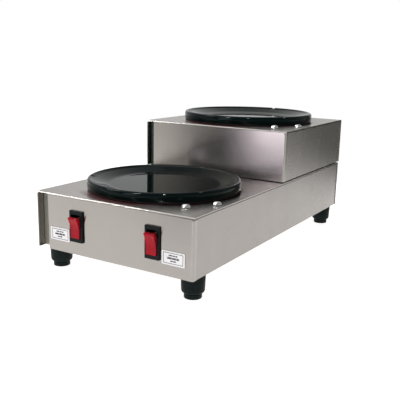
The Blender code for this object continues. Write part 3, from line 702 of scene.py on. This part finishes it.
def add_switch(side):
    """Bezel and body in black nylon, with the rocker's window cut through."""
    low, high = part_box(f"{side}_switch_body")
    front = low.y
    centre = Vector(((low.x + high.x) / 2, front, (low.z + high.z) / 2))
    half_x, half_z = (high.x - low.x) / 2, (high.z - low.z) / 2
    bezel = prism_mesh(rounded_outline(half_x, half_z, 0.6 * MM), 0, BEZEL_DEPTH, "Y")
    obj = new_object(f"{side}_switch_shell", bezel)
    tub_outline = rounded_outline(TUB[0] / 2, TUB[1] / 2, 0.5 * MM, 3)
    combine(obj, prism_mesh(tub_outline, BEZEL_DEPTH - 0.5 * MM, high.y - front, "Y"), "UNION")
    window_outline = rounded_outline(WINDOW[0] / 2, WINDOW[1] / 2, 0.6 * MM, 3)
    combine(obj, prism_mesh(window_outline, -MM, WINDOW_DEPTH + 2 * MM, "Y"), "DIFFERENCE")
    for name in ("line", "load"):
        z = middle(f"{side}_{name}_terminal").z - centre.z
        slot = box_mesh((-3.5 * MM, 15 * MM, z - 0.7 * MM), (3.5 * MM, 26 * MM, z + 0.7 * MM))
        combine(obj, slot, "DIFFERENCE")
    obj.data.transform(Matrix.Translation(centre))
    soften(obj, 0.3 * MM, 4)
    finish_piece(obj, "black_nylon", replaces=[f"{side}_switch_body"])


def add_rocker(side):
    """The red rocker, dished between its two raised ends and round at its edges."""
    joint = next(j for j in FRAME["joints"] if j["name"] == f"{side}_rocker_pivot")
    pivot = Vector(joint["pos_m"])
    steps = 16
    run = ROCKER_HALF - 1.0 * MM
    rise = ROCKER_TIP - ROCKER_WAIST
    heights = [run * (2 * i / steps - 1) for i in range(steps + 1)]
    outline = [(-(ROCKER_WAIST + rise * (z / run) ** 2), z) for z in heights]
    tail = [*arc((-5.4 * MM, ROCKER_HALF - 0.9 * MM), 0.9 * MM, 160, 90, 4), (-2.6 * MM, ROCKER_HALF)]
    tail += [(0.5 * MM, 3.2 * MM), (6 * MM, 3.0 * MM)]
    outline += tail + [(y, -z) for y, z in reversed(tail)]
    low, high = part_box(f"{side}_rocker")
    half = (high.x - low.x) / 2 - TRUNNION_REACH
    obj = new_object(f"{side}_red_rocker", prism_mesh(outline, -half, half, "X"), 40)
    pin = rod_mesh(TRUNNION_RADIUS, low.x - pivot.x, high.x - pivot.x, 24, "X")
    combine(obj, pin, "UNION")
    obj.data.transform(Matrix.Translation(pivot) @ Matrix.Rotation(ROCKER_TILT, 4, "X"))
    soften(obj, 0.55 * MM, 4, 40)
    finish_piece(obj, "red_rocker", f"{side}_rocker", [f"{side}_rocker"])


# ---------------------------------------------------------------- labels, feet, inlet


def add_label(side):
    """White plate with an inset frame and rows of plain bars in place of its wording."""
    low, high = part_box(f"{side}_label")
    centre = Vector(((low.x + high.x) / 2, low.y, (low.z + high.z) / 2))
    half_x, half_z = (high.x - low.x) / 2, (high.z - low.z) / 2
    sheet = prism_mesh(rounded_outline(half_x, half_z, 1.2 * MM), 0, high.y - low.y, "Y")
    plate = new_object(f"{side}_label_plate", sheet)
    plate.data.transform(Matrix.Translation(centre))
    soften(plate, 0.06 * MM, 2)
    finish_piece(plate, "label_white", replaces=[f"{side}_label"])

    frame_x, frame_z = half_x - LABEL_INSET[0], half_z - LABEL_INSET[1]
    bm = prism_mesh(rounded_outline(frame_x, frame_z, 0.8 * MM), -INK_PROUD, INK_DEPTH, "Y")
    frame = new_object(f"{side}_label_print", bm)
    hole_outline = rounded_outline(frame_x - LABEL_LINE, frame_z - LABEL_LINE, 0.5 * MM)
    combine(frame, prism_mesh(hole_outline, -MM, MM, "Y"), "DIFFERENCE")
    marks = bmesh.new()
    marks.from_mesh(frame.data)
    for z, half_height, bars in LABEL_ROWS:
        for x, length in bars:
            outline = rounded_outline(length / 2 * MM, half_height, 0.2 * MM, 2)
            bar = prism_mesh(outline, -INK_PROUD, INK_DEPTH, "Y")
            bar.transform(Matrix.Translation(((x + length / 2) * MM, 0, z)))
            piece = bpy.data.meshes.new("bar")
            bar.to_mesh(piece)
            bar.free()
            marks.from_mesh(piece)
            bpy.data.meshes.remove(piece)
    marks.transform(Matrix.Translation(centre))
    bmesh.ops.recalc_face_normals(marks, faces=marks.faces)
    marks.to_mesh(frame.data)
    marks.free()
    finish_piece(frame, "label_white", material=INK)


def add_feet():
    """Tapered rubber collars, each with a smaller pad on a stud below it."""
    for row in ("front", "rear"):
        for side in ("left", "right"):
            name = f"{row}_{side}"
            low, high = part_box(f"foot_collar_{name}")
            centre = Vector(((low.x + high.x) / 2, (low.y + high.y) / 2, 0))
            top_radius = (high.x - low.x) / 2
            collar = [(FOOT_BORE, low.z), (9.2 * MM, low.z)]
            collar += arc((8.8 * MM, low.z + 3.2 * MM), 3.2 * MM, -80, 0, 8)
            collar += [(12.1 * MM, low.z + 5.0 * MM), (top_radius - 0.1 * MM, high.z - 0.5 * MM)]
            collar += [(top_radius - 0.4 * MM, high.z), (FOOT_BORE, high.z)]
            bm = turned_mesh(collar, 72)
            bm.transform(Matrix.Translation(centre))
            obj = new_object(f"foot_cone_{name}", bm, 40)
            finish_piece(obj, "black_rubber", replaces=[f"foot_collar_{name}"])

            low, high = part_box(f"foot_pad_{name}")
            radius = (high.x - low.x) / 2
            pad = [(0, 0), (radius - 0.8 * MM, 0), *arc((radius - 0.7 * MM, 0.7 * MM), 0.7 * MM, -80, 0, 5)]
            pad += [(radius, PAD_SHOULDER - 0.4 * MM), (radius - 0.4 * MM, PAD_SHOULDER)]
            pad += [(STUD_RADIUS, PAD_SHOULDER), (STUD_RADIUS, high.z - 0.5 * MM)]
            pad += [(STUD_RADIUS - 0.5 * MM, high.z), (0, high.z)]
            bm = turned_mesh(pad, 72)
            bm.transform(Matrix.Translation(centre))
            obj = new_object(f"foot_tip_{name}", bm, 40)
            finish_piece(obj, "black_rubber", f"foot_pad_{name}", [f"foot_pad_{name}"])


def add_bushing():
    low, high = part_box("cord_bushing")
    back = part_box("lower_housing")[1].y
    proud = high.y - back
    radius, bore, neck = (high.x - low.x) / 2, 4.5 * MM, 7.6 * MM
    profile = [(bore, low.y - back), (bore, proud - 0.8 * MM), (bore + 0.8 * MM, proud), (8.4 * MM, proud)]
    profile += arc((8.4 * MM, proud - 1.2 * MM), 1.2 * MM, 80, 30, 4)
    profile += [(radius, 1.2 * MM), (radius, 0.3 * MM), (neck, 0.3 * MM), (neck, -1.6 * MM)]
    profile += [(8.8 * MM, -2.2 * MM), (neck, low.y - back)]
    bm = turned_mesh(profile, 72, "Y")
    bm.transform(Matrix.Translation(((low.x + high.x) / 2, back, (low.z + high.z) / 2)))
    finish_piece(new_object("inlet_bushing", bm, 40), "black_nylon", replaces=["cord_bushing"])


def dress_frame():
    """Every CAD node that stays in view, mostly inside the cabinet, gets its slot's material."""
    slots = {part["node"]: part["material_slot"] for part in FRAME["record"]["subparts"]}
    for node, obj in FRAME["nodes"].items():
        obj.data.materials.clear()
        obj.data.materials.append(FINISH[slots[node]])


# ---------------------------------------------------------------- studio


def add_camera():
    back = Vector((
        math.sin(CAMERA_AZIMUTH) * math.cos(CAMERA_ELEVATION),
        -math.cos(CAMERA_AZIMUTH) * math.cos(CAMERA_ELEVATION),
        math.sin(CAMERA_ELEVATION),
    ))
    right = Vector((math.cos(CAMERA_AZIMUTH), math.sin(CAMERA_AZIMUTH), 0))
    turn = Matrix((right, back.cross(right), back)).transposed()
    data = bpy.data.cameras.new("camera")
    data.sensor_width = 36
    data.lens = CAMERA_LENS
    data.clip_start = 0.01
    camera = bpy.data.objects.new("camera", data)
    bpy.context.scene.collection.objects.link(camera)
    camera.matrix_world = (
        Matrix.Translation(CAMERA_PLACE) @ turn.to_4x4() @ Matrix.Rotation(CAMERA_ROLL, 4, "Z")
    )
    bpy.context.scene.camera = camera


def add_table():
    """A softly glowing white table top. Past its edges the room is dim, which only the steel sees."""
    finish = Shader("white_table", (0.55, 0.55, 0.55), 0.9)
    finish.set("Specular IOR Level", 0.0)
    finish.set("Emission Color", (1.0, 0.99, 0.98, 1.0))
    finish.set("Emission Strength", TABLE_GLOW)
    low, high = TABLE
    table = new_object("table", box_mesh((*low, -20 * MM), (*high, -0.05 * MM)))
    table.data.materials.append(finish.material)


def add_area_light(name, place, size, energy, glints_only=False):
    """A soft rectangular light aimed at the warmer's middle."""
    data = bpy.data.lights.new(name, "AREA")
    data.shape = "RECTANGLE"
    data.size, data.size_y = size
    data.energy = energy
    light = bpy.data.objects.new(name, data)
    bpy.context.scene.collection.objects.link(light)
    light.location = place
    aim = Vector((0, 0, 0.1)) - Vector(place)
    light.rotation_euler = aim.to_track_quat("-Z", "Y").to_euler()
    light.visible_diffuse = not glints_only


def add_room():
    """White to the camera. What the pieces mirror is a dim room with paler walls and one bright card.

    ROOM_BANDS gives the room's colours by bearing, in degrees clockwise from straight behind.
    """
    world = bpy.data.worlds.new("room")
    world.use_nodes = True
    tree = world.node_tree
    seen = tree.nodes["Background"]
    seen.inputs["Color"].default_value = (1, 1, 1, 1)
    mirrored = tree.nodes.new("ShaderNodeBackground")
    direction = tree.nodes.new("ShaderNodeTexCoord")
    parts = tree.nodes.new("ShaderNodeSeparateXYZ")
    tree.links.new(direction.outputs["Generated"], parts.inputs["Vector"])
    bearing = tree.nodes.new("ShaderNodeMath")
    bearing.operation = "ARCTAN2"
    tree.links.new(parts.outputs["X"], bearing.inputs[0])
    tree.links.new(parts.outputs["Y"], bearing.inputs[1])
    turn = tree.nodes.new("ShaderNodeMapRange")
    turn.inputs["From Min"].default_value = -math.pi
    turn.inputs["From Max"].default_value = math.pi
    tree.links.new(bearing.outputs["Value"], turn.inputs["Value"])
    shade = tree.nodes.new("ShaderNodeValToRGB")
    ramp = shade.color_ramp
    while len(ramp.elements) < len(ROOM_BANDS):
        ramp.elements.new(0.5)
    for element, (degrees, colour) in zip(ramp.elements, ROOM_BANDS):
        element.position = (degrees + 180) / 360
        element.color = (*colour, 1)
    tree.links.new(turn.outputs["Result"], shade.inputs["Fac"])
    height = tree.nodes.new("ShaderNodeMapRange")
    height.inputs["From Min"].default_value, height.inputs["From Max"].default_value = CEILING_FROM
    tree.links.new(parts.outputs["Z"], height.inputs["Value"])
    ceiling = tree.nodes.new("ShaderNodeMix")
    ceiling.data_type = "RGBA"
    tree.links.new(height.outputs["Result"], ceiling.inputs["Factor"])
    below, above = [socket for socket in ceiling.inputs if socket.type == "RGBA"]
    tree.links.new(shade.outputs["Color"], below)
    above.default_value = (*CEILING_COLOUR, 1)
    result = next(socket for socket in ceiling.outputs if socket.type == "RGBA")
    tree.links.new(result, mirrored.inputs["Color"])
    ray = tree.nodes.new("ShaderNodeLightPath")
    either = tree.nodes.new("ShaderNodeMixShader")
    tree.links.new(ray.outputs["Is Camera Ray"], either.inputs["Fac"])
    tree.links.new(mirrored.outputs["Background"], either.inputs[1])
    tree.links.new(seen.outputs["Background"], either.inputs[2])
    tree.links.new(either.outputs["Shader"], tree.nodes["World Output"].inputs["Surface"])
    bpy.context.scene.world = world


def add_studio():
    """Table, room and lights. The strips only make glints: they don't light the diffuse finishes."""
    add_table()
    add_room()
    add_area_light("overhead", *OVERHEAD)
    for name, (place, size, energy) in STRIPS.items():
        add_area_light(name, place, size, energy, glints_only=True)
    bpy.context.scene.view_settings.view_transform = "Standard"


# ---------------------------------------------------------------- assembly

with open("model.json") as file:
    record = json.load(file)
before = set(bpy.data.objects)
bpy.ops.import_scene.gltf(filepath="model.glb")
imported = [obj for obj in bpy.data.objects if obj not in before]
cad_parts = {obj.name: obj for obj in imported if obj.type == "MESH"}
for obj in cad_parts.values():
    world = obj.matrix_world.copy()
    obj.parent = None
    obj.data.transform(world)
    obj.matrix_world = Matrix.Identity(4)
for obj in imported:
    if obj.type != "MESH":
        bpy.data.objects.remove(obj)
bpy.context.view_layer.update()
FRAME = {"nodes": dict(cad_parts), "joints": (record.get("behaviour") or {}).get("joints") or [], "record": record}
FINISH = make_finishes()
SIDE_STEEL = brushed_steel("stainless_side", "Y")
# Darker copies of the steel for the corner channels: painted shade of their recesses, mid grey in the lower one
# and nearly black in the upper one.
CORNER_SHADE_STEEL = {
    "lower": brushed_steel("stainless_recess_shade", "Z", (0.30, 0.295, 0.26)),
    "upper": brushed_steel("stainless_in_shade", "Z", (0.050, 0.070, 0.060)),
}
INK = moulded("label_ink", (0.03, 0.032, 0.036), 0.5, 0.005)

dress_frame()
for tier_name in ("lower", "upper"):
    add_housing(tier_name)
    add_side_panels(tier_name)
    add_corner_channel(tier_name)
    add_plate(tier_name)
    add_dome_screws(tier_name)
for side_name in ("left", "right"):
    add_switch(side_name)
    add_rocker(side_name)
    add_label(side_name)
add_feet()
add_bushing()
add_camera()
add_studio()
